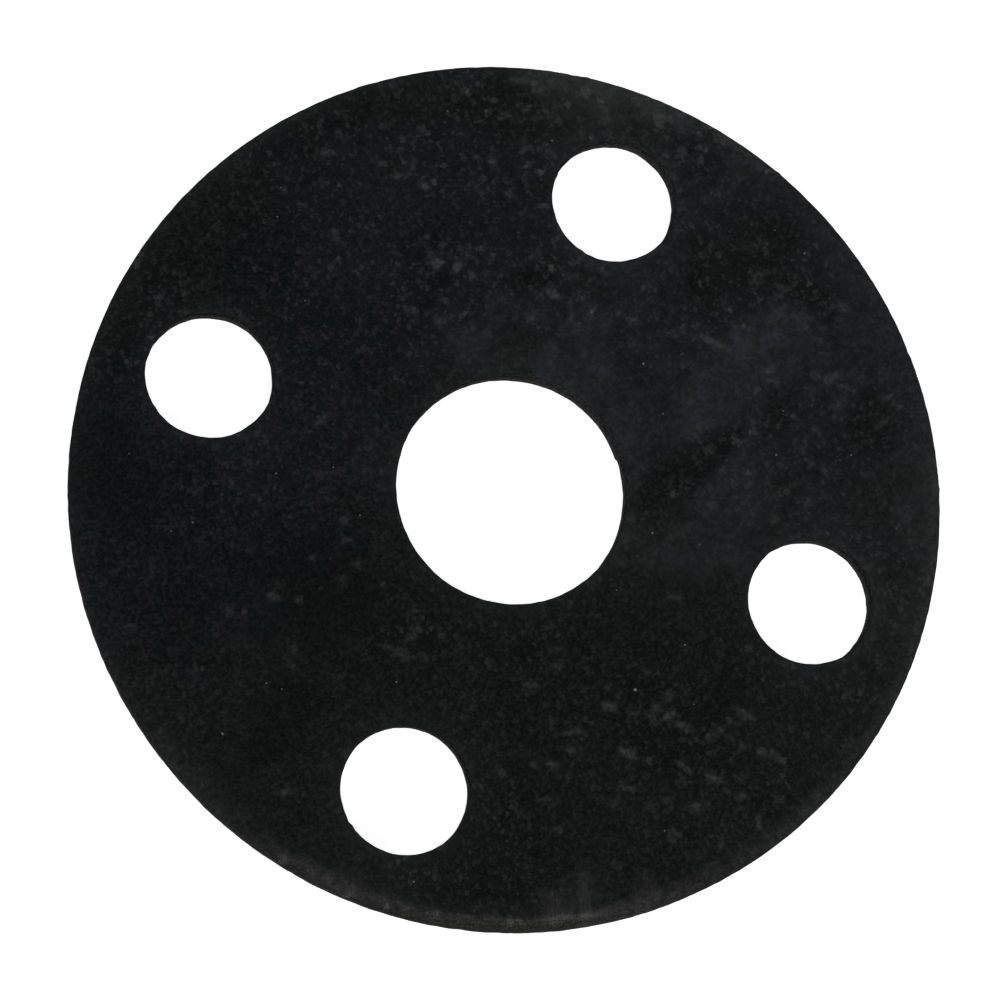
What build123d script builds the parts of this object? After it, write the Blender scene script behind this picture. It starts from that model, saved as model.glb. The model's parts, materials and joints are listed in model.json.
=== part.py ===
from build123d import *
import os

# Full-face gasket for a bolted pipe flange: one flat disc, die-cut from sheet rubber,
# with the pipe's bore in the middle and a ring of bolt holes around it.
# Millimetres, +Z up. The origin is the centre of the bore on the lower sealing face.

# Driving dimensions
bore_diameter = 26.5        # clears the bore of a 3/4 inch (DN 20) pipe
bolt_diameter = 12.0        # M12 or 1/2 inch flange bolts
bolt_clearance = 2.5        # how much wider than its bolt each hole is
bolt_count = 4
bolt_circle_diameter = 73.0
outer_diameter = 100.0      # level with the flange's own rim
sheet_thickness = 3.0
cut_edge_bevel = 0.15       # how far the die takes each edge off, above and below

# Derived sizes
bolt_hole_diameter = bolt_diameter + bolt_clearance
half_pitch_angle = 180.0 / bolt_count  # puts +X midway between two bolt holes


with BuildPart() as flange_gasket:
    with BuildSketch() as sealing_face:
        Circle(outer_diameter / 2)
        Circle(bore_diameter / 2, mode=Mode.SUBTRACT)
        with PolarLocations(bolt_circle_diameter / 2, bolt_count, start_angle=half_pitch_angle):
            Circle(bolt_hole_diameter / 2, mode=Mode.SUBTRACT)
    extrude(amount=sheet_thickness)
    cut_edges = flange_gasket.edges().filter_by(GeomType.CIRCLE)
    chamfer(cut_edges, length=cut_edge_bevel)

flange_gasket.part.label = "flange_gasket"

os.makedirs("parts", exist_ok=True)
export_step(flange_gasket.part, "parts/flange_gasket.step")
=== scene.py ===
import bpy
import json
import math
import random
from mathutils import Matrix, Vector, noise
from mathutils.geometry import delaunay_2d_cdt


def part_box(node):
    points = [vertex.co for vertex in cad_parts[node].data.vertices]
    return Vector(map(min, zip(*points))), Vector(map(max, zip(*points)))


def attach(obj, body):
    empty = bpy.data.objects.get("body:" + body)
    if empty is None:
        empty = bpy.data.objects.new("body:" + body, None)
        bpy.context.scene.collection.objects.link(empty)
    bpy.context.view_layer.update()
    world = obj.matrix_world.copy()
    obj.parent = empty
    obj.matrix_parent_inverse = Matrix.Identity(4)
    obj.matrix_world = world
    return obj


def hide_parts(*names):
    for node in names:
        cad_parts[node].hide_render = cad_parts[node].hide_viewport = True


# A die-cut rubber flange gasket lying flat on a white studio table, seen from above.
# Every length is in metres, in the part's own frame: +Z up, the table at the underside.

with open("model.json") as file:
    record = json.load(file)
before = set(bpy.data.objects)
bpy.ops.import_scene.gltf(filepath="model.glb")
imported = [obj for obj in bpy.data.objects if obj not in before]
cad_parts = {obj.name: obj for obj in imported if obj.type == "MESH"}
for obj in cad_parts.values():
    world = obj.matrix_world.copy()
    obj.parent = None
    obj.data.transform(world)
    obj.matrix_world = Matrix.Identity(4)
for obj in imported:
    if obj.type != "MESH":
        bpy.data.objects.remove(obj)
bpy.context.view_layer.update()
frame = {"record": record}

MM = 0.001
NODE = "flange_gasket"
FULL_TURN = 6.283          # radians: how far the random turns go


def even_angles(count):
    """Angles in radians, evenly spread round a full turn."""
    return [2 * math.pi * i / count for i in range(count)]


def loop_edges(start, count):
    """The edges of a closed loop of points that are numbered on from start."""
    return [(start + i, start + (i + 1) % count) for i in range(count)]


# ---------------------------------------------------------------- sizes, from the frame

box_low, box_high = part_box(NODE)
thickness = box_high.z - box_low.z
outer_radius = (box_high.x - box_low.x) / 2
mounts = {m["name"]: m for m in frame["record"]["mounts"]}
bore = mounts["bore"]
bolt_holes = [m for name, m in sorted(mounts.items()) if name.startswith("bolt_hole_")]
# The softened edges are what the bore's straight wall leaves of the thickness.
edge_break = (thickness - bore["dims"]["length_mm"] * MM) / 2


# ---------------------------------------------------------------- the cut rims

STEP = 0.25 * MM           # spacing of the points along a rim
WAVE = 0.030 * MM          # slow out-of-roundness of a hand-set die
RAG = 0.045 * MM           # short unevenness along the cut
RAG_LENGTH = 1.0 * MM
KNIFE = 0.014 * MM         # fine upright lines that the cutting rule leaves down the wall
KNIFE_LENGTH = 0.5 * MM
WEAR_AND_HIGHLIGHT_REACH = 1.1 * MM      # how far in from a cut the faces are paler, partly from wear and partly a painted edge highlight
DISH = 0.05 * MM           # rubber bulges under the die, so the cut wall ends up slightly hollow
JOINT_SHARP = 0.15 * MM    # over how short an arc the wall steps where the rule's two ends meet
NICK_BELOW = 0.4           # how much of a nick or bump is left at the underside
LOBES = range(2, 9)        # the waves to a full turn that the out-of-roundness is made of


class Rim:
    """One cut edge: a nearly round wall through the sheet, with the die's small faults."""

    def __init__(self, name, centre, radius, side, bumps=(), joint=None, roll=None):
        self.centre = Vector(centre)
        self.radius = radius
        self.side = side          # 1 where the rubber lies inside the wall, -1 round a hole
        self.bumps = bumps        # (angle in degrees, half width, how far the rubber stands out)
        self.joint = joint        # (angle in degrees, reach, step) where the rule's two ends meet
        self.roll = roll          # (angle and half width in degrees, size) of a rolled upper edge
        self.count = 8 * round(2 * math.pi * radius / STEP / 8)     # so that points lie on the axes
        rng = random.Random(name)
        self.waves = [
            (k, WAVE * rng.uniform(0.3, 1) / k ** 0.5, rng.uniform(0, FULL_TURN))
            for k in LOBES
        ]
        self.seed = rng.uniform(0, 50)

    def arc_from(self, angle, place):
        """The length along the rim from place, in degrees, to angle, in radians."""
        turn = (angle - math.radians(place) + math.pi) % (2 * math.pi) - math.pi
        return turn * self.radius

    def rolled(self, angle):
        """How far the upper edge is rolled over at angle."""
        if not self.roll:
            return 0.0
        place, width, size = self.roll
        turn = math.degrees(self.arc_from(angle, place) / self.radius)
        return size * math.exp(-((turn / width) ** 4))

    def stands_out(self, angle, height):
        """How far the wall stands out from its true circle, away from the rubber's middle."""
        offset = sum(size * math.sin(k * angle + phase) for k, size, phase in self.waves)
        along = Vector((math.cos(angle), math.sin(angle), 0)) * (self.radius / RAG_LENGTH)
        offset += RAG * noise.noise(along + Vector((0, 0, self.seed + 0.4 * height)))
        for place, width, out in self.bumps:
            bulge = math.exp(-((self.arc_from(angle, place) / width) ** 2))
            offset += out * bulge * (NICK_BELOW + (1 - NICK_BELOW) * height)
        if self.joint:
            place, reach, step = self.joint
            arc = self.arc_from(angle, place)
            offset += step / 2 * math.tanh(arc / JOINT_SHARP) * math.exp(-abs(arc) / reach)
        return offset

    def knife_lines(self, angle, height):
        """How far the wall stands out for its fine upright lines and the shorter grain in them."""
        along = Vector((math.cos(angle), math.sin(angle), 0)) * (self.radius / KNIFE_LENGTH)
        line = noise.noise(along + Vector((0, 0, self.seed + 0.5 * height)))
        grain = noise.noise(along * 2.3 + Vector((0, 0, self.seed + 9 * height)))
        return KNIFE * (line + 0.5 * grain)


# Nicks and bumps of each cut edge, as Rim takes them.
BUMPS = {
    "rim": [
        (25, 0.3 * MM, 0.09 * MM), (54, 0.3 * MM, 0.10 * MM), (56, 0.4 * MM, -0.08 * MM),
        (85, 0.9 * MM, 0.06 * MM), (151, 0.3 * MM, 0.08 * MM), (215, 0.3 * MM, -0.12 * MM),
        (238, 0.4 * MM, -0.07 * MM), (336, 0.3 * MM, 0.08 * MM), (355, 0.4 * MM, -0.08 * MM),
    ],
    "bolt_hole_1": [
        (64, 0.4 * MM, 0.06 * MM), (132, 0.3 * MM, 0.06 * MM), (212, 0.3 * MM, 0.07 * MM),
    ],
    "bolt_hole_2": [
        (124, 0.4 * MM, -0.08 * MM), (132, 0.3 * MM, 0.07 * MM), (188, 0.3 * MM, 0.05 * MM),
    ],
    "bolt_hole_3": [
        (184, 0.4 * MM, -0.09 * MM), (189, 0.3 * MM, 0.08 * MM), (329, 0.3 * MM, 0.06 * MM),
    ],
    "bolt_hole_4": [
        (277, 0.5 * MM, -0.10 * MM), (295, 0.3 * MM, 0.08 * MM), (338, 0.3 * MM, 0.06 * MM),
    ],
}
ROLLED_EDGE = (244, 14.5, 1.3 * MM)
BORE_JOINT = (353.5, 1.4 * MM, 0.24 * MM)


def hole_rim(mount, **faults):
    """The cut edge of the hole that a mount of the frame stands for."""
    return Rim(mount["name"], mount["pos_m"][:2], mount["dims"]["r_mm"] * MM, -1, **faults)


rims = [
    Rim("rim", (0, 0), outer_radius, 1, BUMPS["rim"], roll=ROLLED_EDGE),
    hole_rim(bore, joint=BORE_JOINT),
]
rims += [hole_rim(mount, bumps=BUMPS[mount["name"]]) for mount in bolt_holes]


# ---------------------------------------------------------------- marks on the upper face

# Marks are ellipses: x, y, half length and half width in mm, turn in degrees, strength.
# The bloom that works out of black rubber lies as a thin pale layer. The wash that makes it thicker to
# the right is partly bloom and partly painted sheen.
FILM_AND_SHEEN_WASH = (
    (36, 6, 28, 42, 0, 0.35),
    (3, 36, 12, 12, 0, 0.12),
    (-20, 16, 9, 6, 20, 0.16),
    (28, -36, 16, 8, 40, 0.05),
    (-5, 44, 17, 5, 0, 0.06),
    (-32, -30, 14, 10, -45, 0.05),
    (-8, 31, 7, 5, 0, 0.08),
    (-42, -8, 6, 9, 0, 0.05),
    (-5, 25, 5, 7, 0, 0.10),
    (-1, 16.5, 7, 3, 0, 0.10),
)
FILM_EVERYWHERE = 0.04     # what lies outside them too
# Patches of it with a clearer outline, partly bloom and partly painted sheen.
FILM_AND_SHEEN_PATCHES = (
    (31, 1.4, 10.5, 4.1, 12, 0.36),
    (35.5, 4.6, 5.5, 2.5, -4, 0.42),
    (12.5, 9.5, 7, 4.0, 50, 0.42),
    (25, -1.2, 6, 3, 10, 0.20),
    (28, -7.2, 5, 1.8, 30, 0.16),
    (21, -13, 9, 4.2, 23, 0.32),
    (41, -4, 4, 2.5, 60, 0.12),
    (22, 22, 3, 5, 0, 0.20),
    (5, 21, 5, 3.5, 30, 0.20),
    (6, 14.5, 6, 2.5, -25, 0.32),
    (-12, 8.5, 4, 3, -50, 0.22),
    (16.5, 2, 2.5, 4, 0, 0.24),
    (11, -13, 4, 2.5, -30, 0.26),
    (9, 18.5, 4, 2.5, -30, 0.26),
    (15, 0, 1.8, 4, 0, 0.20),
    (3, 43, 5, 1.5, 50, 0.09),
    (3.5, 38, 3.5, 1.8, 20, 0.09),
    (-1.5, 34.5, 2.5, 1.6, 60, 0.08),
    (2, 20.5, 2.5, 2.5, 0, 0.10),
    (30.5, 37.8, 9, 3, -42, 0.65),
    (36, 24, 3, 8, 0, 0.14),
    (43, -20, 3, 8, -22, 0.24),
    (25, 34, 4, 3, -20, 0.16),
    (-13.5, -44.3, 4.0, 1.8, 8, 0.30),
    (47, 2, 2.5, 13, 0, 0.14),
    (42, 24, 4, 5, -30, 0.12),
    (18, -17, 4, 3, 20, 0.12),
    (14.5, 7.5, 2, 4, 0, 0.10),
    (4, -46.5, 5, 1.5, 5, 0.12),
    (28, 37, 3, 1.5, -35, 0.15),
)
# Where the darkest rubber shows between the patches, under neither bloom nor painted sheen.
DARKEST_PATCHES = (
    (19, -6.2, 8, 2.2, 13, 0.34),
    (32, -4.6, 4, 1.6, 36, 0.30),
    (36, -11, 6, 1.5, 10, 0.15),
    (36, 14, 8, 5, 10, 0.26),
    (37.5, 28, 3, 5, 0, 0.22),
    (17, -27, 6, 5, 0, 0.10),
    (-24, -4, 5, 5, 30, 0.07),
    (-35, -13, 6, 3, 20, 0.09),
    (-46, 5, 3, 8, 0, 0.08),
    (-26, 13, 4, 3, 0, 0.06),
    (27, -11.3, 3, 1.3, -15, 0.22),
    (12.5, 20.5, 3, 2, 0, 0.16),
    (43, 5.5, 3, 3, 0, 0.14),
    (22, -20, 9, 7, -40, 0.08),
    (43, -10, 4, 4, 0, 0.20),
    (15, 29, 6, 3, 10, 0.12),
    (6, 30.5, 6, 2.8, 5, 0.10),
    (13, 42.5, 4, 1.8, 10, 0.10),
    (-2, 46, 5, 1.8, 0, 0.10),
    (-41, 19, 5, 10, 10, 0.15),
    (-16, 38, 7, 6, -20, 0.14),
    (-19, 17, 4, 4, 0, 0.10),
    (23, 42, 5, 2.5, -30, 0.12),
    (4, -25, 16, 8, -10, 0.06),
    (21, 31, 2.5, 3, 0, 0.12),
    (41, 9, 3, 4, 0, 0.12),
    (25, -37, 2.5, 2.5, 0, 0.08),
    (28, 11, 4, 5, 0, 0.10),
)
# Where small flakes crowd together, and where there are few.
CROWDS = (
    (4, 26, 7, 5, -50, 0.8),
    (2, -30, 12, 7, -20, 0.2),
    (6, -39, 14, 7, -30, 0.2),
    (-18, -10.5, 4, 2.5, -20, 0.7),
    (27, 36, 10, 5, -30, 1.0),
    (14, 38, 10, 8, 0, 0.7),
    (38, 8, 9, 8, 0, 0.6),
    (30, -10, 14, 7, 0, 0.5),
    (-4, 44, 12, 5, 10, 0.6),
    (-22, -36, 10, 8, 30, 0.3),
    (26, -38, 10, 6, 30, 0.2),
    (-30, 12, 14, 8, 0, 0.2),
    (20, -25, 26, 16, -10, 0.25),
    (37, 28, 8, 9, 0, 1.0),
    (38, -26, 6, 10, 0, 0.5),
    (-30, 36, 8, 8, 0, 0.5),
    (-14, 27, 8, 10, 0, 0.35),
    (-5, 27, 7, 12, 0, 0.35),
    (17, 23, 7, 6, 0, 0.7),
    (20, 12, 10, 8, 0, 0.25),
)
BARE = (
    (-17, 38, 8, 6, -10, 0.1),
    (-41, 20, 5, 10, 10, 0.5),
    (-30, 3, 14, 7, 0, 0.3),
    (-42, -24, 6, 9, 0, 0.3),
    (-36, -13, 7, 4, 20, 0.5),
    (18, -17, 8, 3, 0, 0.5),
    (10, -20, 9, 4, -10, 0.4),
    (-25, -3, 8, 6, 0, 0.5),
)
# Under a cool light the rubber is bluer at the upper left, and its film more violet at the right.
TEAL = (
    (-30, 16, 24, 17, 15, 1.0),
    (-8, 30, 10, 16, -20, 0.8),
    (8, 28, 14, 14, 0, 0.4),
)
VIOLET = (
    (34, 4, 26, 26, 0, 1.0),
    (0, 32, 22, 18, 0, 0.9),
    (-20, 16, 18, 10, 0, 0.7),
    (26, -34, 7, 4, 0, 0.6),
)
PALE_ARC_FADE = 6             # degrees over which a pale arc's ends fade, to each side
# Pale arcs along the rim, partly chalky scuffing from wear and partly a painted highlight along the
# rolled edge's fold: start and end angle in degrees, the least and greatest distance in from the rim in
# mm, strength.
RIM_SCUFFS_AND_HIGHLIGHTS = (
    (212, 236, 0.2, 1.5, 0.70),
    (214, 258, 0.8, 1.7, 0.80),
    (218, 236, 0.0, 3.0, 0.12),
    (234, 256, 0.0, 2.0, 0.75),
    (240, 256, 1.2, 3.0, 0.35),
    (254, 268, 0.0, 2.5, 0.90),
    (262, 290, 0.0, 2.4, 0.55),
    (192, 226, 0.0, 3.0, 0.30),
    (28, 62, 0.0, 2.2, 0.55),
    (28, 62, 0.0, 4.0, 0.20),
    (285, 345, 0.0, 1.8, 0.48),
    (80, 110, 0.0, 1.6, 0.25),
)
# Chalky scrapes on the face, run in fine lines, and one thin painted highlight along the rolled edge's
# fold.
SCRAPES_AND_FOLD_HIGHLIGHT = (
    (-16.5, -44.2, 1.8, 1.2, 64, 0.75),
    (-12.9, -45.6, 2.6, 0.6, 66, 0.85),
    (-11.8, -43.0, 2.0, 0.5, 66, 0.35),
    (-6.4, -47.0, 1.9, 1.4, 64, 0.6),
    # A painted highlight: the thin pale line along the fold of the rolled edge.
    (-15.7, -46.3, 3.4, 0.35, -19, 1.3),
    (-21.6, -44.0, 0.3, 0.3, 0, 4.0),
    (-20.6, -44.3, 0.3, 0.3, 0, 3.5),
    (-28.6, -39.6, 0.4, 0.3, 0, 2.0),
    (-33.3, -36.6, 0.4, 0.3, 0, 2.5),
    (-36.5, -33.6, 0.5, 0.3, 0, 2.0),
    (-41.5, -27.2, 0.4, 0.4, 0, 2.5),
)
# The larger flakes of dried bloom.
FLAKES = (
    (-0.8, -27.0, 0.9, 0.6, -20, 0.9), (-1.3, -32.6, 1.2, 0.5, -50, 1.0),
    (0.6, -34.3, 0.4, 0.35, 0, 0.8), (5.0, -30.8, 0.8, 0.5, 15, 1.0),
    (5.9, -32.6, 1.1, 0.45, -60, 0.9), (3.1, -30.4, 0.9, 0.3, -60, 0.7),
    (4.1, -29.3, 0.5, 0.3, -70, 0.9), (5.9, -28.7, 0.6, 0.45, 70, 0.8),
    (-6.0, -27.8, 1.2, 0.35, -10, 0.7), (-7.0, -29.6, 0.5, 0.35, 20, 0.8),
    (-11.5, -29.3, 0.45, 0.35, 0, 0.7), (-9.8, -30.0, 0.6, 0.3, -20, 0.8),
    (-15.2, -28.7, 0.7, 0.5, 90, 0.7), (-12.0, -33.4, 1.2, 0.25, -25, 0.6),
    (-3.0, -36.2, 1.2, 0.35, -35, 0.7), (-4.9, -37.0, 0.8, 0.25, 30, 0.6),
    (3.9, -36.6, 1.2, 0.35, -60, 0.8), (6.4, -39.3, 1.1, 0.4, -50, 1.0),
    (3.2, -41.2, 0.6, 0.4, -10, 0.9), (4.4, -41.7, 0.6, 0.25, 5, 0.5),
    (-0.3, -43.0, 1.1, 0.3, -55, 0.7), (-1.0, -43.5, 0.5, 0.25, -10, 0.6),
    (8.6, -42.4, 0.5, 0.35, -40, 0.9), (12.8, -38.8, 0.6, 0.5, 0, 0.9),
    (14.3, -40.3, 1.3, 0.35, -70, 0.8), (13.2, -34.4, 1.2, 0.35, -60, 0.8),
    (11.0, -34.1, 0.5, 0.35, -50, 0.7), (9.5, -34.7, 0.5, 0.4, -20, 0.8),
    (8.0, -34.7, 0.45, 0.4, 0, 0.7), (8.9, -46.0, 1.0, 0.35, 85, 0.9),
    (11.0, -37.6, 0.7, 0.2, 0, 0.6), (9.1, -40.4, 0.7, 0.2, -50, 0.6),
    (-7.9, -21.1, 1.0, 0.35, -25, 0.7), (-4.3, -20.5, 0.7, 0.3, -35, 0.7),
    (-7.6, -25.8, 0.8, 0.35, 70, 0.5), (11.6, -19.0, 1.0, 0.3, -40, 0.7),
    (-12.1, -37.1, 0.5, 0.35, -60, 0.7), (1.2, -28.8, 0.9, 0.25, -35, 0.6),
    (0.1, -25.0, 0.35, 0.3, 0, 0.7), (-1.6, -38.9, 0.5, 0.2, 0, 0.5),
    (0.4, -39.0, 0.5, 0.25, -15, 0.6), (12.2, -44.5, 0.7, 0.25, -60, 0.7),
    (3.8, -46.4, 0.45, 0.35, 80, 0.6), (7.2, -41.3, 0.8, 0.2, -60, 0.5),
    (-15.1, -20.6, 0.7, 0.25, 20, 0.5), (-3.5, -18.8, 0.9, 0.2, -10, 0.5),
    (10.3, -36.0, 0.6, 0.25, -75, 0.5), (-15.5, -33.5, 0.6, 0.3, 85, 0.5),
    (-15.0, -35.2, 0.6, 0.2, 70, 0.5), (4.9, -25.4, 0.5, 0.25, -30, 0.5),
    (13.0, -27.3, 2.0, 0.2, 55, 0.3), (3.5, 27.3, 0.8, 0.55, -20, 1.4),
    (3.2, 28.5, 0.6, 0.3, 50, 0.7), (5.4, 25.9, 0.8, 0.5, 25, 1.3), (6.6, 24.2, 0.5, 0.4, 30, 0.8),
    (14.2, 18.6, 0.9, 0.5, -60, 1.3), (13.1, 19.1, 0.4, 0.3, 0, 0.8),
    (14.6, 35.7, 0.5, 0.4, -10, 1.2), (14.7, 31.5, 0.4, 0.3, -40, 1.2),
    (17.9, 28.4, 0.45, 0.4, 0, 1.4), (13.2, 36.9, 0.4, 0.3, -10, 0.8),
    (-2.5, 44.1, 0.9, 0.5, -20, 0.8), (-1.4, 23.3, 0.6, 0.5, -30, 0.8),
    (2.5, 22.9, 0.5, 0.35, -50, 0.9), (0.7, 21.0, 0.4, 0.4, 0, 0.8),
    (3.7, 38.5, 0.5, 0.35, -10, 0.9), (2.8, 40.4, 0.6, 0.3, -40, 0.9),
    (6.1, 36.1, 0.4, 0.3, -30, 0.9), (10.8, 17.1, 0.5, 0.3, 0, 0.9), (5.3, 17.6, 0.4, 0.25, 0, 0.6),
    (15.7, 16.9, 0.7, 0.25, 70, 0.7), (17.1, 16.9, 0.7, 0.25, -70, 0.8),
    (8.2, 23.9, 0.6, 0.45, 0, 0.6), (9.6, 23.1, 0.4, 0.3, 0, 0.7), (11.6, 23.6, 0.5, 0.3, 80, 0.6),
    (14.0, 23.6, 0.6, 0.4, 20, 0.6), (19.0, 35.5, 0.9, 0.35, 10, 0.8),
    (19.2, 36.4, 0.5, 0.3, 60, 0.6), (21.4, 34.2, 0.9, 0.3, -50, 0.7),
    (18.6, 40.1, 0.9, 0.3, -40, 0.9), (21.2, 39.8, 0.8, 0.25, 20, 0.8),
    (22.0, 43.3, 1.2, 0.25, -25, 0.8), (23.3, 41.3, 0.8, 0.3, -20, 0.9),
    (23.1, 38.6, 0.5, 0.3, -60, 0.9), (23.8, 37.1, 0.5, 0.3, 0, 0.8),
    (21.6, 38.5, 0.4, 0.25, 0, 0.7), (-5.8, 35.0, 0.8, 0.4, 80, 0.9), (8.0, 41.8, 0.5, 0.2, 0, 0.7),
    (5.5, 41.2, 0.35, 0.3, 0, 0.6), (9.4, 47.0, 0.5, 0.3, -20, 0.7), (12.2, 20.4, 0.4, 0.3, 0, 0.6),
    (4.0, 18.8, 0.35, 0.3, 0, 0.7), (7.2, 26.8, 0.5, 0.3, 80, 0.6), (2.4, 30.3, 0.7, 0.2, 0, 0.6),
    (-0.5, 30.3, 0.5, 0.2, -10, 0.6), (16.0, 28.0, 0.5, 0.3, -40, 0.6),
    (28.8, 6.2, 1.6, 0.45, -50, 1.1), (27.4, 7.2, 0.5, 0.25, -10, 0.8),
    (26.4, 8.8, 0.7, 0.25, 55, 0.8), (24.9, 8.9, 0.8, 0.2, -35, 0.6),
    (36.9, 10.9, 0.7, 0.2, 60, 0.7), (37.8, 11.0, 0.5, 0.25, -30, 0.7),
    (37.2, 10.2, 0.5, 0.2, 0, 0.6), (39.2, 8.7, 0.9, 0.3, -50, 0.6), (45.1, 3.4, 0.6, 0.5, 0, 0.8),
    (44.3, 4.0, 0.9, 0.25, 0, 0.6), (39.8, 3.2, 0.4, 0.35, 0, 0.6), (33.6, 0.3, 0.6, 0.4, -20, 1.0),
    (33.3, -0.9, 0.8, 0.2, -50, 0.8), (31.3, -1.1, 0.4, 0.4, 0, 0.9),
    (23.3, 0.6, 0.4, 0.35, 0, 0.7), (22.9, -2.2, 0.4, 0.3, 0, 0.8), (39.8, -3.4, 1.1, 0.5, 10, 0.9),
    (38.4, -2.4, 0.8, 0.3, -50, 0.7), (40.8, -4.9, 0.9, 0.25, -40, 0.7),
    (39.2, -6.6, 0.9, 0.3, 20, 0.7), (45.0, -8.2, 0.8, 0.35, 5, 0.9),
    (43.3, -10.6, 0.9, 0.35, 15, 0.7), (45.5, -9.5, 0.8, 0.2, -45, 0.6),
    (36.7, -3.4, 0.9, 0.2, -55, 0.6), (20.3, 13.5, 0.4, 0.3, 0, 0.9),
    (21.3, 12.3, 0.8, 0.3, -30, 0.9), (17.7, 15.0, 0.4, 0.4, 0, 1.0),
    (14.8, 15.3, 0.4, 0.3, 0, 0.8), (22.5, -5.2, 0.6, 0.15, 80, 0.8),
    (23.0, -5.2, 0.6, 0.15, 80, 0.8), (28.7, -5.4, 0.5, 0.4, 70, 0.7),
    (16.6, -8.1, 0.5, 0.4, 60, 0.8), (20.2, -11.0, 0.6, 0.35, 0, 0.6),
    (35.3, -8.0, 0.4, 0.35, 0, 0.7), (33.2, -11.5, 0.5, 0.3, -40, 0.7),
    (34.1, -12.7, 0.6, 0.3, -30, 0.7), (26.2, -15.6, 0.6, 0.5, 0, 0.6),
    (30.5, -15.6, 0.4, 0.35, 0, 0.7), (24.3, 15.0, 0.5, 0.25, 75, 0.8),
    (-19.8, -11.7, 0.9, 0.6, -40, 0.6), (-20.9, -10.5, 0.9, 0.3, -40, 0.6),
    (-17.8, -10.5, 0.7, 0.6, 0, 0.6), (-17.6, -13.3, 0.7, 0.5, -70, 0.5),
    (-14.7, -11.9, 0.6, 0.4, 0, 0.6), (-30.0, -0.2, 0.8, 0.5, -50, 0.7),
    (-29.2, 0.7, 0.6, 0.2, 20, 0.6), (-27.6, -1.6, 0.6, 0.3, 5, 0.6),
    (-33.7, -0.4, 0.4, 0.3, 0, 0.7), (-35.2, 0.3, 0.6, 0.5, 80, 0.5),
    (-19.1, 4.6, 0.6, 0.3, -10, 0.7), (-19.7, 2.3, 0.7, 0.25, -30, 0.7),
    (-19.8, -0.6, 0.35, 0.35, 0, 0.7), (-18.2, -3.8, 0.4, 0.35, 0, 0.6),
    (-24.3, 2.0, 0.5, 0.25, 0, 0.6), (-22.2, -1.5, 0.35, 0.3, 0, 0.6),
    (-41.6, -4.1, 0.5, 0.5, 0, 0.5), (-30.4, -6.3, 0.5, 0.4, 30, 0.6),
    (-31.5, -8.1, 0.4, 0.35, 0, 0.6), (-46.3, 3.6, 0.8, 0.2, -10, 0.6),
    (-38.1, -20.5, 0.6, 0.2, -10, 0.8), (-19.3, 10.4, 0.4, 0.3, 0, 0.6),
    (-26.8, 10.5, 0.4, 0.3, 0, 0.6), (-16.5, 16.0, 0.9, 0.25, 10, 0.7),
    (-16.3, -8.1, 0.4, 0.3, 0, 0.7), (-24.6, 7.5, 0.35, 0.3, 0, 0.5),
    (-28.9, 13.6, 0.6, 0.3, 70, 0.5),
)
FLAKE_CELL = 3.0           # flakes are looked up by square cells of this size in mm
FLAKE_REACH = 1.5          # how far a flake's ragged outline may reach, in its half lengths
# Specks of dust: x, y and radius in mm.
DUST = (
    (2.7, -26.5, 0.17), (10.2, -24.3, 0.12), (8.1, -30.8, 0.08), (-1.3, -42.2, 0.09),
    (5.8, -15.4, 0.08), (-41.7, -11.7, 0.14), (-34.9, -8.6, 0.09), (-33.6, -9.9, 0.08),
    (-21.6, -14.5, 0.11), (-34.7, 11.2, 0.10), (-17.2, 4.3, 0.10), (-37.3, 11.3, 0.08),
    (-23.8, 12.5, 0.10), (-17.6, 10.5, 0.09), (20.3, 7.0, 0.13), (43.7, 11.2, 0.12),
    (19.8, 0.8, 0.08), (29.8, -8.9, 0.11), (12.5, -11.2, 0.11), (37.9, -12.5, 0.09),
    (16.9, -14.6, 0.07), (32.9, -4.6, 0.07), (22.2, 35.2, 0.10), (12.5, 43.2, 0.08),
    (-37.9, 21.2, 0.07), (-11.0, 39.5, 0.09), (-29.4, -35.4, 0.10), (41.7, 15.1, 0.08),
    (-9.2, 42.5, 0.07), (-12.3, 29.3, 0.08), (17.5, 14.9, 0.09),
)
DUST_SIDES = 8
DUST_OUTLINE = (0.75, 1.2)   # a speck's ragged outline, from least to greatest, in its radii
DUST_HEIGHT = 0.03 * MM
DUST_SEED = 5


def smooth(value, zero_at, one_at):
    """Smooth step from 0 to 1 as value goes from zero_at to one_at."""
    t = min(1.0, max(0.0, (value - zero_at) / (one_at - zero_at)))
    return t * t * (3 - 2 * t)


def cloud(x, y, size, layer, octaves=3):
    """A cloudy noise of that size in mm, at x, y in mm. Each layer has a pattern of its own."""
    return noise.fractal(Vector((x / size, y / size, layer)), 1, 2, octaves)


def strengths(marks, x, y, softness, ragged, size=5.0):
    """The strength of each ellipse at x, y in mm, its outline made uneven by a noise of that size."""
    wobble = ragged * cloud(x, y, size, 3)
    for cx, cy, length, width, turn, strength in marks:
        c, s = math.cos(math.radians(turn)), math.sin(math.radians(turn))
        u = ((x - cx) * c + (y - cy) * s) / length
        v = ((y - cy) * c - (x - cx) * s) / width
        yield strength * smooth(math.hypot(u, v) + wobble, 1 + softness, 1 - softness)


def cells_near(middle, reach):
    """The cells that lie within reach of middle, along one axis."""
    first = math.floor((middle - reach) / FLAKE_CELL)
    last = math.floor((middle + reach) / FLAKE_CELL)
    return range(first, last + 1)


def flakes_by_cell():
    """The larger flakes, listed under each cell that they may reach into."""
    cells = {}
    for mark in FLAKES:
        x, y, length = mark[:3]
        reach = FLAKE_REACH * length
        for i in cells_near(x, reach):
            for j in cells_near(y, reach):
                cells.setdefault((i, j), []).append(mark)
    return cells


flake_cells = flakes_by_cell()


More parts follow.
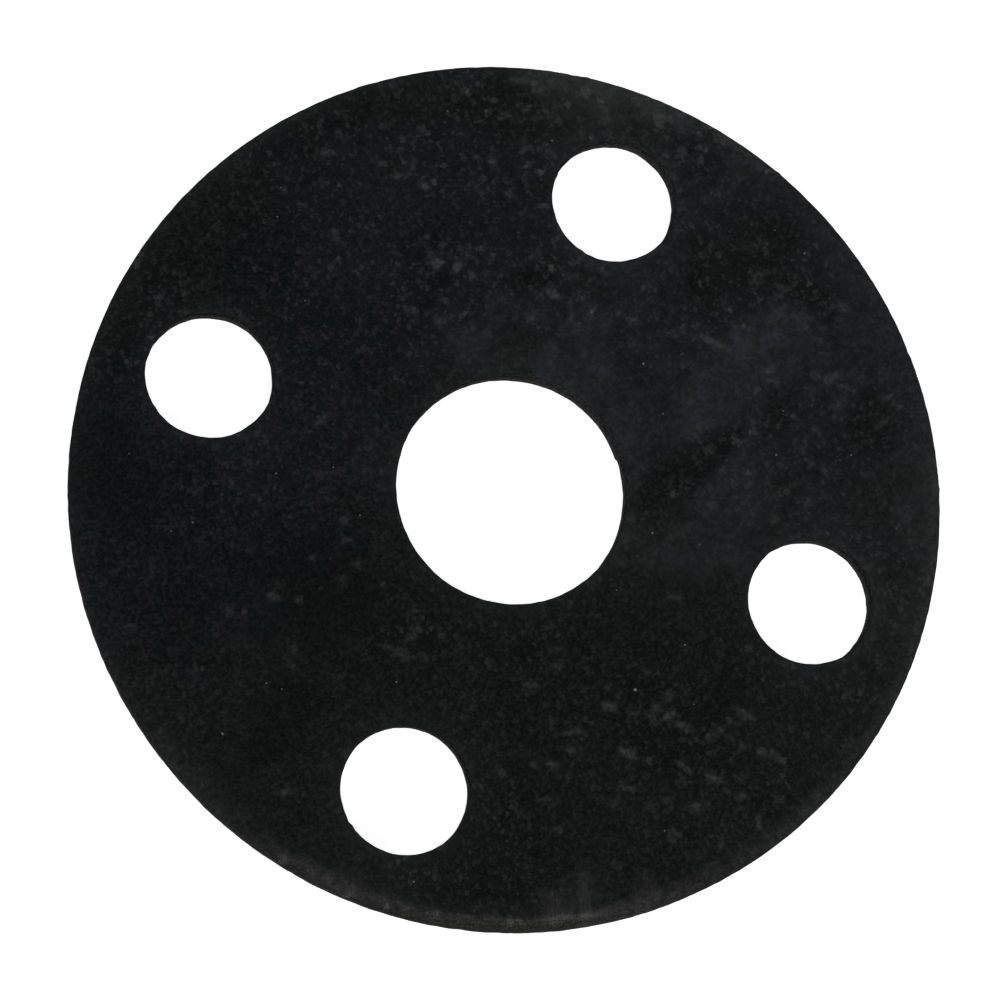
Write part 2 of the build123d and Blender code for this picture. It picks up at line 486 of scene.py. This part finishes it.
def crowd_at(x, y):
    """How closely the small flakes and granules lie at x, y in mm: 0.3 in most places, 1 at most and
    below 0 where hardly any do."""
    crowd = 0.3 + 0.7 * max(strengths(CROWDS, x, y, 0.4, 0.6))
    return crowd - sum(strengths(BARE, x, y, 0.4, 0.4))


def flake_at(x, y):
    """How strong the larger flakes are at x, y in mm on the upper face."""
    marks = flake_cells.get((math.floor(x / FLAKE_CELL), math.floor(y / FLAKE_CELL)))
    return sum(strengths(marks, x, y, 0.3, 0.3, 0.8)) if marks else 0.0


def film_and_sheen_at(x, y):
    """How thick the pale bloom and the painted sheen in it are at x, y in mm on the upper face: 0 where
    bare, 1 where plain.
    """
    film_and_sheen = FILM_EVERYWHERE
    film_and_sheen += sum(strengths(FILM_AND_SHEEN_WASH, x, y, 0.45, 0.3))
    film_and_sheen += sum(strengths(FILM_AND_SHEEN_PATCHES, x, y, 0.2, 0.35))
    film_and_sheen -= sum(strengths(DARKEST_PATCHES, x, y, 0.25, 0.35))
    film_and_sheen += 0.10 * cloud(x, y, 9, 8, octaves=4)
    return max(0.0, film_and_sheen)


def rim_scuff_and_highlight_at(x, y):
    """How pale the rubber is at x, y in mm along the rim: partly chalky from rubbing, partly a painted
    highlight along the rolled edge's fold.
    """
    uneven = 0.3 * noise.noise(Vector((x / 2.5, y / 2.5, 11)))
    from_rim = outer_radius / MM - math.hypot(x, y) + uneven
    angle = math.degrees(math.atan2(y, x)) % 360
    scuff_and_highlight = 0.0
    for start, end, least, greatest, strength in RIM_SCUFFS_AND_HIGHLIGHTS:
        inside = smooth(angle, start - PALE_ARC_FADE, start + PALE_ARC_FADE)
        inside *= smooth(angle, end + PALE_ARC_FADE, end - PALE_ARC_FADE)
        inside *= smooth(from_rim, greatest, 0.5 * (least + greatest))
        if least > 0:
            inside *= smooth(from_rim, 0.5 * least, least)
        scuff_and_highlight += strength * inside
    return scuff_and_highlight


def clear_of_rims(x, y):
    """The distance from x, y to the nearest rim, on the rubber's side."""
    p = Vector((x, y))
    return min(rim.side * (rim.radius - (p - rim.centre).length) for rim in rims)


def marks_at(x, y, upper):
    """The marks at a point of a face, by name, painted sheen and painted highlights among them. The
    underside has its own, from noise alone.
    """
    # Paler near every cut: partly wear, partly a painted edge highlight.
    wear_and_edge_highlight = math.exp(-max(0.0, clear_of_rims(x, y)) / WEAR_AND_HIGHLIGHT_REACH)
    x, y = x / MM, y / MM
    if not upper:
        return {
            "wear_and_edge_highlight": wear_and_edge_highlight,
            "film_and_sheen": 0.3 + 0.5 * max(0.0, cloud(x, y, 14, 60)),
            "scuff_and_highlight": 0.0,
            "scrape_and_fold_highlight": 0.0,
            "crowd": smooth(cloud(x, y, 11, 90), -0.1, 0.5),
            "flake": 0.0,
            "teal": 0.3,
            "violet": 0.5,
        }
    return {
        "wear_and_edge_highlight": wear_and_edge_highlight,
        "film_and_sheen": film_and_sheen_at(x, y),
        "scuff_and_highlight": rim_scuff_and_highlight_at(x, y),
        "scrape_and_fold_highlight": sum(strengths(SCRAPES_AND_FOLD_HIGHLIGHT, x, y, 0.5, 0.3, 2.0)),
        "crowd": crowd_at(x, y),
        "flake": flake_at(x, y),
        "teal": max(strengths(TEAL, x, y, 0.3, 0.5)),
        "violet": max(strengths(VIOLET, x, y, 0.3, 0.5)),
    }


# ---------------------------------------------------------------- the gasket's mesh

FACE_RINGS = (2.4 * MM, 1.5 * MM, 0.8 * MM, 0.4 * MM)     # rings on each face, in from the wall
EDGE_STEPS = 5             # steps round each softened edge
WALL_STEPS = 8
ROLL_ROUND = 0.75          # how much of a rolled edge's size is rounded over
FACE_SPACING = 1.0 * MM    # between the points inside a face
FINE = 4                   # times closer round the larger flakes
FINE_REACH = 1.3           # how far round a flake that is, in its half lengths
COARSE_CLEARANCE = 0.6     # least distance of the even points from a rim's bands, in spacings
FINE_CLEARANCE = 0.2       # and of the closer ones
MERGED = 1e-9              # points closer than this would be joined


def section(roll):
    """The cut's outline from the upper face to the underside: (inset from the wall, height, is wall).
    roll is how much more the upper edge is rolled over than the lower one."""
    points = [(inset + roll * (1 - inset / FACE_RINGS[0]), thickness, False) for inset in FACE_RINGS]
    top = edge_break + ROLL_ROUND * roll
    for i in range(EDGE_STEPS + 1):
        turn = math.pi / 2 * i / EDGE_STEPS
        points.append((top * (1 - math.sin(turn)), thickness - top * (1 - math.cos(turn)), True))
    span = thickness - top - edge_break
    for i in range(1, WALL_STEPS):
        points.append((0.0, thickness - top - span * i / WALL_STEPS, True))
    for i in range(EDGE_STEPS, -1, -1):
        turn = math.pi / 2 * i / EDGE_STEPS
        points.append((edge_break * (1 - math.sin(turn)), edge_break * (1 - math.cos(turn)), True))
    points += [(inset, 0.0, False) for inset in reversed(FACE_RINGS)]
    return points


class GasketMesh:
    """Collects points and faces, and which material each face has."""

    def __init__(self):
        self.verts = []
        self.faces = []
        self.materials = []

    def add(self, x, y, z):
        self.verts.append((x, y, z))
        return len(self.verts) - 1

    def add_face(self, corners, material):
        self.faces.append(tuple(corners))
        self.materials.append(material)


FACE, WALL, SPECK = range(3)         # the gasket's materials


def add_rim(mesh, rim):
    """The bands round one cut edge. Returns their last rings on the upper face and the underside."""
    angles = even_angles(rim.count)
    sections = [section(rim.rolled(angle)) for angle in angles]
    rings = []
    for row in range(len(sections[0])):
        ring = []
        for angle, points in zip(angles, sections):
            inset, z, wall = points[row]
            height = z / thickness
            fade = max(0.0, 1 - inset / FACE_RINGS[0])
            out = rim.stands_out(angle, height) * fade - inset
            if inset == 0:
                out -= DISH * 4 * height * (1 - height)      # deepest halfway down
            if wall:
                out += rim.knife_lines(angle, height)
            radius = rim.radius + rim.side * out
            x = rim.centre.x + radius * math.cos(angle)
            y = rim.centre.y + radius * math.sin(angle)
            ring.append(mesh.add(x, y, z))
        rings.append(ring)
    for row in range(len(rings) - 1):
        a, b = rings[row], rings[row + 1]
        is_wall = sections[0][row][2] and sections[0][row + 1][2]
        for i, j in loop_edges(0, rim.count):
            quad = (a[i], b[i], b[j], a[j]) if rim.side > 0 else (a[i], a[j], b[j], b[i])
            mesh.add_face(quad, WALL if is_wall else FACE)
    return rings[0], rings[-1]


def grid_points(fine_marks):
    """An even triangular grid of points on a face, clear of every rim and closer round fine_marks."""
    spacing = FACE_SPACING / FINE
    row_height = spacing * math.sqrt(3) / 2
    reach = int(outer_radius / row_height / FINE + 1) * FINE
    coarse = set()
    for j in range(-reach, reach + 1, FINE):
        shift = (j // FINE % 2) * FINE // 2        # every second row lies half a spacing further on
        for i in range(-reach, reach + 1, FINE):
            coarse.add((i + shift, j))
    places = set(coarse)
    for mark in fine_marks:
        x, y, length = mark[:3]
        size = FINE_REACH * length * MM
        columns = int(size / spacing) + 1
        rows = int(size / row_height) + 1
        middle = round(x * MM / spacing), round(y * MM / row_height)
        for dj in range(-rows, rows + 1):
            for di in range(-columns, columns + 1):
                places.add((middle[0] + di, middle[1] + dj))
    for i, j in sorted(places):
        x = (i + 0.5 * (j % 2)) * spacing
        y = j * row_height
        clearance = COARSE_CLEARANCE if (i, j) in coarse else FINE_CLEARANCE
        needed = (i, j) in coarse or flake_at(x / MM, y / MM) > 0
        if needed and clear_of_rims(x, y) > FACE_RINGS[0] + clearance * FACE_SPACING:
            yield x, y


def add_speck(mesh, rng, x, y, z, size):
    """One speck of dust, a low ragged cone. Returns its points, the tip last."""
    turn = rng.uniform(0, FULL_TURN)
    points = []
    for angle in even_angles(DUST_SIDES):
        reach = size * rng.uniform(*DUST_OUTLINE)
        points.append(mesh.add(x + reach * math.cos(turn + angle), y + reach * math.sin(turn + angle), z))
    points.append(mesh.add(x, y, z + DUST_HEIGHT))
    return points


def fill_face(mesh, loops, z, upper):
    """Fills one flat face between the rims' innermost rings, with the dust specks standing on it."""
    index = []             # the mesh's points that the face is filled between
    owner = []             # for each, the number of its loop or speck, or None
    edges = []
    for k, loop in enumerate(loops):
        edges += loop_edges(len(index), len(loop))
        index += loop
        owner += [k] * len(loop)
    rng = random.Random(DUST_SEED)
    taken = []
    for speck in DUST if upper else ():
        cx, cy, size = (value * MM for value in speck)
        if clear_of_rims(cx, cy) < FACE_RINGS[0] + 2 * size:
            continue            # the bands round a rim have points of their own there
        points = add_speck(mesh, rng, cx, cy, z, size)
        edges += loop_edges(len(index), DUST_SIDES)
        index += points
        owner += [len(loops) + len(taken)] * len(points)
        taken.append((cx, cy, size))
    for x, y in grid_points(FLAKES if upper else ()):
        if all(math.hypot(x - cx, y - cy) > size * 2 for cx, cy, size in taken):
            index.append(mesh.add(x, y, z))
            owner.append(None)
    flat = [Vector(mesh.verts[v][:2]) for v in index]
    _, _, triangles, origin, _, _ = delaunay_2d_cdt(flat, edges, [], 0, MERGED)
    for triangle in triangles:
        sources = [origin[k][0] for k in triangle]
        owners = {owner[k] for k in sources}
        alone = owners.pop() if len(owners) == 1 else None
        if alone is not None and 0 < alone < len(loops):
            continue            # it spans a hole
        corners = [index[k] for k in sources]
        if not upper:
            corners.reverse()
        is_speck = alone is not None and alone >= len(loops)
        mesh.add_face(corners, SPECK if is_speck else FACE)


def build_gasket():
    mesh = GasketMesh()
    ends = [add_rim(mesh, rim) for rim in rims]
    fill_face(mesh, [upper for upper, lower in ends], thickness, True)
    fill_face(mesh, [lower for upper, lower in ends], 0.0, False)

    data = bpy.data.meshes.new("gasket")
    data.from_pydata(mesh.verts, [], mesh.faces)
    for material in (face_rubber(), cut_rubber(), dust()):
        data.materials.append(material)
    for polygon, material in zip(data.polygons, mesh.materials):
        polygon.use_smooth = material != SPECK
        polygon.material_index = material
    marks = [marks_at(x, y, z > thickness / 2) for x, y, z in mesh.verts]
    for name in marks[0]:
        attribute = data.attributes.new(name, "FLOAT", "POINT")
        attribute.data.foreach_set("value", [mark[name] for mark in marks])
    data.validate()
    data.update()
    obj = bpy.data.objects.new("gasket", data)
    bpy.context.scene.collection.objects.link(obj)
    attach(obj, "root")
    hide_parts(NODE)
    return obj


# ---------------------------------------------------------------- materials

class Shader:
    """Short names for the few nodes that the materials use. Lengths in them are in millimetres."""

    def __init__(self, name):
        self.material = bpy.data.materials.new(name)
        self.material.use_nodes = True
        self.tree = self.material.node_tree
        self.bsdf = self.tree.nodes["Principled BSDF"]
        coords = self.tree.nodes.new("ShaderNodeTexCoord").outputs["Object"]
        self.place = self.vector("MULTIPLY", coords, (1 / MM, 1 / MM, 1 / MM))

    def put(self, socket, value):
        if isinstance(value, bpy.types.NodeSocket):
            self.tree.links.new(value, socket)
        else:
            socket.default_value = value

    def vector(self, operation, a, b):
        node = self.tree.nodes.new("ShaderNodeVectorMath")
        node.operation = operation
        self.put(node.inputs[0], a)
        self.put(node.inputs[1], b)
        return node.outputs["Vector"]

    def math(self, operation, a, b=0.0):
        node = self.tree.nodes.new("ShaderNodeMath")
        node.operation = operation
        self.put(node.inputs[0], a)
        self.put(node.inputs[1], b)
        return node.outputs["Value"]

    def combined(self, operation, values):
        found = values[0]
        for value in values[1:]:
            found = self.math(operation, found, value)
        return found

    def total(self, *values):
        return self.combined("ADD", values)

    def strongest(self, *values):
        return self.combined("MAXIMUM", values)

    def times(self, *values):
        return self.combined("MULTIPLY", values)

    def height(self):
        """The height over the underside, as a share of the sheet's thickness."""
        node = self.tree.nodes.new("ShaderNodeSeparateXYZ")
        self.put(node.inputs["Vector"], self.place)
        return self.times(node.outputs["Z"], MM / thickness)

    def attribute(self, name):
        node = self.tree.nodes.new("ShaderNodeAttribute")
        node.attribute_name = name
        return node.outputs["Fac"]

    def noise(self, size, detail=2.0, roughness=0.5, place=None, colour=False):
        node = self.tree.nodes.new("ShaderNodeTexNoise")
        self.put(node.inputs["Vector"], place or self.place)
        node.inputs["Scale"].default_value = 1 / size
        node.inputs["Detail"].default_value = detail
        node.inputs["Roughness"].default_value = roughness
        return node.outputs["Color" if colour else "Fac"]

    def step(self, value, low, high, to_low=0.0, to_high=1.0):
        """Smooth step from to_low to to_high as value goes from low to high."""
        node = self.tree.nodes.new("ShaderNodeMapRange")
        node.interpolation_type = "SMOOTHSTEP"
        self.put(node.inputs["Value"], value)
        node.inputs["From Min"].default_value = low
        node.inputs["From Max"].default_value = high
        node.inputs["To Min"].default_value = to_low
        node.inputs["To Max"].default_value = to_high
        return node.outputs["Result"]

    def warped(self, size, reach, place=None):
        """The place, pushed about by a noise of that size, so that round spots come out ragged."""
        push = self.vector("SUBTRACT", self.noise(size, detail=2, colour=True), (0.5, 0.5, 0.5))
        push = self.vector("MULTIPLY", push, (reach, reach, reach))
        return self.vector("ADD", place or self.place, push)

    def stretched(self, angle, length, width, shift=0.0):
        """The place, turned by angle and squeezed, so that a noise on it runs in streaks."""
        turn = self.tree.nodes.new("ShaderNodeMapping")
        turn.vector_type = "TEXTURE"
        self.put(turn.inputs["Vector"], self.place)
        turn.inputs["Location"].default_value = (shift, shift, 0)
        turn.inputs["Rotation"].default_value = (0, 0, math.radians(angle))
        turn.inputs["Scale"].default_value = (length, width, width)
        return turn.outputs["Vector"]

    def spots(self, cell, radius, soft, crowd, place, least=0.2):
        """Soft spots, one to a cell at most, of random strength from least to 1. Crowd is the share
        of cells that hold one, and where it is 1, a spot's random size runs up to radius. Radius and
        soft are shares of the cell."""
        node = self.tree.nodes.new("ShaderNodeTexVoronoi")
        self.put(node.inputs["Vector"], place)
        node.inputs["Scale"].default_value = 1 / cell
        split = self.tree.nodes.new("ShaderNodeSeparateColor")
        self.put(split.inputs["Color"], node.outputs["Color"])
        size = self.times(self.total(split.outputs["Red"], crowd, -1.0), radius)
        spot = self.step(self.math("SUBTRACT", size, node.outputs["Distance"]), -soft / 2, soft / 2)
        return self.times(spot, self.step(split.outputs["Green"], 0.0, 1.0, least, 1.0))

    def colour(self, amount, dark, light):
        node = self.tree.nodes.new("ShaderNodeMix")
        node.data_type = "RGBA"
        self.put(node.inputs["Factor"], amount)
        self.put(node.inputs["A"], dark)
        self.put(node.inputs["B"], light)
        return node.outputs["Result"]

    def bump(self, height, distance, under=None):
        node = self.tree.nodes.new("ShaderNodeBump")
        self.put(node.inputs["Height"], height)
        node.inputs["Distance"].default_value = distance
        if under:
            self.put(node.inputs["Normal"], under)
        return node.outputs["Normal"]


GRAIN_ANGLE = -26.0        # degrees: the way the sheet came off the calender
FLAKE_ANGLE = -56.0        # the way the larger flakes tend to lie
SCRAPE_ANGLE = 64.0        # the way the chalky scrapes run
# How much of the dark rubber each of these hides where it is strongest.
# Some of these covers carry painted light: sheen in the pale bloom, and highlights by the cuts and along
# the rolled edge.
FILM_AND_SHEEN_COVER = 0.205
STREAK_COVER = 0.03
WEAR_AND_HIGHLIGHT_COVER = 0.10
RAFT_COVER = 0.34
FLAKE_COVER = 0.34
SPECKLE_COVER = 0.10
SCUFF_AND_HIGHLIGHT_COVER = 0.17
SCRAPE_AND_HIGHLIGHT_COVER = 0.16
DARK = (0.0053, 0.0076, 0.0063, 1)
DARK_TEAL = (0.0034, 0.0076, 0.0095, 1)
CUT = (0.0077, 0.0074, 0.0064, 1)
PALE_FILM_AND_SHEEN = (0.2000, 0.2120, 0.2080, 1)
FILM_AND_SHEEN_VIOLET = (0.1950, 0.2020, 0.2450, 1)
FLAKE_AND_WALL_LIGHT = (0.2450, 0.2600, 0.2620, 1)
SCUFF_AND_HIGHLIGHT = (0.2350, 0.2320, 0.2260, 1)
DUST_DARK = (0.22, 0.24, 0.24, 1)
DUST_PALE = (0.55, 0.57, 0.58, 1)


def face_rubber():
    """Dark rubber under a thin cloudy bloom with painted sheen in it, paler by each cut from wear and a
    painted edge highlight, with pale granules, dots, rafts, flakes, chalky scuffing, and painted
    highlights along the rolled edge.
    """
    s = Shader("sheet_rubber")
    cloth = s.noise(2.2, detail=6, roughness=0.65)
    fine = s.noise(0.22, detail=2, roughness=0.7)
    grain = s.noise(0.5, detail=1)
    along = s.noise(1, detail=3, place=s.stretched(GRAIN_ANGLE, 12, 0.5))
    across = s.noise(1, detail=3, place=s.stretched(GRAIN_ANGLE + 90, 9, 0.6, shift=4))
    crowding = s.attribute("crowd")
    bare = s.step(crowding, -0.3, 0.3, 0.5, 1.0)
    through = s.step(s.attribute("film_and_sheen"), 0.2, 0.8, 1.0, 0.5)    # how well granules show through the pale bloom and painted sheen
    crowd = s.times(s.step(s.noise(4, detail=3), 0.3, 0.7, 0.3, 1.0), crowding)
    mottle = s.noise(0.9, detail=4, roughness=0.7)
    crumbs = s.step(s.noise(0.5, detail=2), 0.35, 0.65, 0.5, 1.0)
    vary = s.noise(3, detail=2)

    film_and_sheen_cloth = s.step(cloth, 0.25, 0.75, 0.65, 1.25)
    film_and_sheen_mottle = s.step(mottle, 0.3, 0.7, 0.6, 1.4)
    wear_and_highlight_mottle = s.step(mottle, 0.3, 0.7, 0.4, 1.4)
    # Pale bloom with painted sheen in it, faint streaks of the calender grain, and the pale band by each
    # cut.
    film_and_sheen = s.total(
        s.times(s.attribute("film_and_sheen"), film_and_sheen_cloth, film_and_sheen_mottle, FILM_AND_SHEEN_COVER),
        s.step(cloth, 0.35, 0.7, 0.0, 0.015),
        s.step(along, 0.5, 0.85, 0.0, STREAK_COVER),
        s.step(across, 0.5, 0.85, 0.0, STREAK_COVER),
        # The pale band by each cut: partly wear, partly a painted edge highlight.
        s.times(s.attribute("wear_and_edge_highlight"), wear_and_highlight_mottle, WEAR_AND_HIGHLIGHT_COVER),
    )

    granules = s.spots(0.66, 0.62, 0.42, 0.95, s.warped(0.5, 0.9), least=0.5)
    granules = s.times(granules, s.step(cloth, 0.3, 0.7, 0.12, 0.26))
    granules = s.times(granules, s.step(crowding, 0.1, 0.8, 0.42, 1.05), bare, through)
    dots = s.spots(1.3, 0.48, 0.22, s.step(crowd, 0.0, 1.0, 0.35, 0.95), s.warped(0.7, 1.3))
    dots = s.times(dots, s.step(vary, 0.3, 0.7, 0.22, 0.60), s.step(crowding, 0.2, 0.9, 0.35, 1.1))
    raft_place = s.warped(1.4, 3.4, s.stretched(FLAKE_ANGLE, 1.25, 0.8))
    rafts = s.spots(2.6, 0.50, 0.14, s.step(crowd, 0.0, 1.0, 0.15, 0.95), raft_place)
    rafts = s.times(rafts, crumbs, RAFT_COVER)
    flakes = s.times(s.attribute("flake"), crumbs, FLAKE_COVER)
    grains = s.times(s.step(grain, 0.38, 0.72), s.step(crowding, 0.1, 0.8, 0.08, 0.02), bare, through)
    spots = s.total(
        s.strongest(granules, dots, rafts, flakes),
        grains,
        s.step(fine, 0.4, 0.85, 0.0, SPECKLE_COVER),
    )

    lines = s.noise(1, detail=3, roughness=0.7, place=s.stretched(SCRAPE_ANGLE, 2.2, 0.2))
    grit = s.noise(0.28, detail=2, roughness=0.6)
    patchy = s.noise(1.5, detail=4, roughness=0.65)
    patches = s.times(s.step(patchy, 0.35, 0.65, 0.3, 1.5), s.step(grit, 0.35, 0.7, 0.6, 1.6))
    # Chalky scuffing and scrapes, with painted highlights along the rolled edge's fold among them.
    scuffs_and_highlights = s.total(
        s.times(s.attribute("scuff_and_highlight"), patches, SCUFF_AND_HIGHLIGHT_COVER),
        s.times(s.attribute("scrape_and_fold_highlight"), s.step(lines, 0.35, 0.7, 0.4, 2.0), SCRAPE_AND_HIGHLIGHT_COVER),
    )

    dark = s.colour(s.attribute("teal"), DARK, DARK_TEAL)
    pale = s.colour(s.attribute("violet"), PALE_FILM_AND_SHEEN, FILM_AND_SHEEN_VIOLET)
    smeared = s.colour(scuffs_and_highlights, s.colour(film_and_sheen, dark, pale), SCUFF_AND_HIGHLIGHT)
    s.put(s.bsdf.inputs["Base Color"], s.colour(spots, smeared, FLAKE_AND_WALL_LIGHT))
    s.put(s.bsdf.inputs["Roughness"], s.step(s.total(film_and_sheen, spots), 0.0, 0.3, 0.48, 0.64))
    s.bsdf.inputs["Specular IOR Level"].default_value = 0.2
    relief = s.bump(fine, 0.010 * MM)
    relief = s.bump(s.noise(1.4, detail=3), 0.02 * MM, relief)
    s.put(s.bsdf.inputs["Normal"], relief)
    return s.material


def cut_rubber():
    """The cut walls: speckled, with painted light from the white table low down, a painted highlight at
    the upper fold, and paler where scuffed and where the face's painted sheen and highlights reach down.
    """
    s = Shader("cut_rubber")
    height = s.height()
    upright = s.vector("MULTIPLY", s.place, (1, 1, 0.7))
    grain = s.noise(0.32, detail=1, place=upright)
    speckle = s.step(grain, 0.36, 0.74)
    patches = s.step(s.noise(1.2, detail=3), 0.35, 0.65, 0.4, 1.0)
    # Painted light: lower lightens the wall low down in place of light from the white table, and fold is
    # a thin painted highlight along the upper edge.
    lower = s.step(height, 0.0, 0.7, 1.0, 0.0)
    fold = s.step(height, 0.93, 1.0)
    amount = s.total(
        s.times(speckle, 0.05),
        s.times(lower, s.step(s.attribute("scuff_and_highlight"), 0.0, 1.0, 1.0, 0.2), s.total(speckle, 1.2), 0.06),
        s.times(fold, s.total(speckle, 1.0), 0.06),
        s.times(s.attribute("film_and_sheen"), patches, s.total(speckle, 0.7), 0.07),
    )
    grit = s.step(s.noise(0.2, detail=2, roughness=0.6), 0.38, 0.68, 0.3, 1.3)
    shade = s.step(height, 0.55, 0.9, 0.2, 1.0)
    scuffs_and_highlights = s.times(s.total(s.attribute("scuff_and_highlight"), s.attribute("scrape_and_fold_highlight")), shade, grit, SCUFF_AND_HIGHLIGHT_COVER)
    s.put(s.bsdf.inputs["Base Color"], s.colour(scuffs_and_highlights, s.colour(amount, CUT, FLAKE_AND_WALL_LIGHT), SCUFF_AND_HIGHLIGHT))
    s.bsdf.inputs["Roughness"].default_value = 0.8
    s.bsdf.inputs["Specular IOR Level"].default_value = 0.0
    s.put(s.bsdf.inputs["Normal"], s.bump(grain, 0.03 * MM))
    return s.material


def dust():
    s = Shader("dust")
    fleck = s.noise(0.1, detail=2)
    s.put(s.bsdf.inputs["Base Color"], s.colour(fleck, DUST_DARK, DUST_PALE))
    s.bsdf.inputs["Roughness"].default_value = 0.9
    s.bsdf.inputs["Specular IOR Level"].default_value = 0.2
    return s.material


def plain_white(name, glow):
    s = Shader(name)
    s.bsdf.inputs["Base Color"].default_value = (0.8, 0.8, 0.8, 1)
    s.bsdf.inputs["Roughness"].default_value = 1.0
    s.bsdf.inputs["Specular IOR Level"].default_value = 0.0
    s.bsdf.inputs["Emission Color"].default_value = (1, 1, 1, 1)
    s.bsdf.inputs["Emission Strength"].default_value = glow
    return s.material


# ---------------------------------------------------------------- table, lights and camera

TABLE_RADIUS = 1.0
TABLE_SIDES = 96
SWEEP_HEIGHT = 0.35
SWEEP_STEPS = 16
TABLE_GAP = 0.01 * MM      # between the table and the gasket's underside
TABLE_GLOW = 0.955         # lifts the table to plain white without lighting the gasket more


def build_table():
    """A round white table whose edge curves up, as a studio sweep does, the same to every side."""
    rings = [(TABLE_RADIUS / 2, 0.0)]
    for i in range(SWEEP_STEPS + 1):
        turn = math.pi / 2 * i / SWEEP_STEPS
        radius = TABLE_RADIUS + SWEEP_HEIGHT * math.sin(turn)
        rings.append((radius, SWEEP_HEIGHT * (1 - math.cos(turn))))
    angles = even_angles(TABLE_SIDES)
    verts = [(0, 0, 0)]
    for radius, z in rings:
        verts += [(radius * math.cos(angle), radius * math.sin(angle), z) for angle in angles]
    sides = loop_edges(0, TABLE_SIDES)
    faces = [(0, 1 + k, 1 + n) for k, n in sides]
    for row in range(len(rings) - 1):
        a = 1 + row * TABLE_SIDES
        b = a + TABLE_SIDES
        faces += [(a + k, b + k, b + n, a + n) for k, n in sides]
    mesh = bpy.data.meshes.new("table")
    mesh.from_pydata(verts, [], faces)
    mesh.materials.append(plain_white("table_white", TABLE_GLOW))
    for polygon in mesh.polygons:
        polygon.use_smooth = True
    table = bpy.data.objects.new("table", mesh)
    table.location.z = box_low.z - TABLE_GAP
    bpy.context.scene.collection.objects.link(table)


SOFTBOX_DISTANCE = 0.9
SOFTBOX_SIZE = 0.5
ROOM_LIGHT = 0.004


def direction(azimuth, elevation):
    """From the part towards that side. Azimuth 0 is the -Y side and 90 the +X side."""
    a, e = math.radians(azimuth), math.radians(elevation)
    return Vector((math.sin(a) * math.cos(e), -math.cos(a) * math.cos(e), math.sin(e)))


def softbox(name, azimuth, elevation, power):
    data = bpy.data.lights.new(name, "AREA")
    data.shape = "DISK"
    data.size = SOFTBOX_SIZE
    data.energy = power
    lamp = bpy.data.objects.new(name, data)
    towards = direction(azimuth, elevation)
    lamp.location = towards * SOFTBOX_DISTANCE
    lamp.rotation_mode = "QUATERNION"
    lamp.rotation_quaternion = towards.to_track_quat("Z", "Y")
    bpy.context.scene.collection.objects.link(lamp)


def build_lights():
    softbox("key", -12, 32, 1.6)
    softbox("left", -115, 38, 0.6)
    softbox("right", 85, 32, 0.45)
    world = bpy.data.worlds.new("studio")
    world.use_nodes = True
    background = world.node_tree.nodes["Background"]
    background.inputs["Color"].default_value = (1, 1, 1, 1)
    background.inputs["Strength"].default_value = ROOM_LIGHT
    bpy.context.scene.world = world


CAMERA_DISTANCE = 0.4094   # to the middle of the gasket
LEAN_UP = -11.86           # degrees: how the disc leans about the picture's two axes
LEAN_ACROSS = 9.14
TURN = 25.86               # and how it is turned in its own plane
LENS = 129.6               # millimetres, as the sensor's width is
SENSOR = 36
AIM_LEFT = 0.166           # degrees: the disc sits just off the picture's middle
AIM_DOWN = 0.139


def turned(degrees, axis):
    return Matrix.Rotation(math.radians(degrees), 3, axis)


def build_camera():
    data = bpy.data.cameras.new("camera")
    data.sensor_width = SENSOR
    data.lens = LENS
    data.clip_start = 0.01
    data.clip_end = 20
    camera = bpy.data.objects.new("camera", data)
    facing = (turned(LEAN_UP, "X") @ turned(LEAN_ACROSS, "Y") @ turned(TURN, "Z")).transposed()
    aim = turned(AIM_LEFT, "Y") @ turned(-AIM_DOWN, "X")
    middle = (box_low + box_high) / 2
    eye = middle + facing @ Vector((0, 0, CAMERA_DISTANCE))
    camera.matrix_world = Matrix.Translation(eye) @ (facing @ aim).to_4x4()
    bpy.context.scene.collection.objects.link(camera)
    bpy.context.scene.camera = camera


# ---------------------------------------------------------------- the scene

build_gasket()
build_table()
build_lights()
build_camera()
bpy.context.scene.view_settings.view_transform = "Standard"
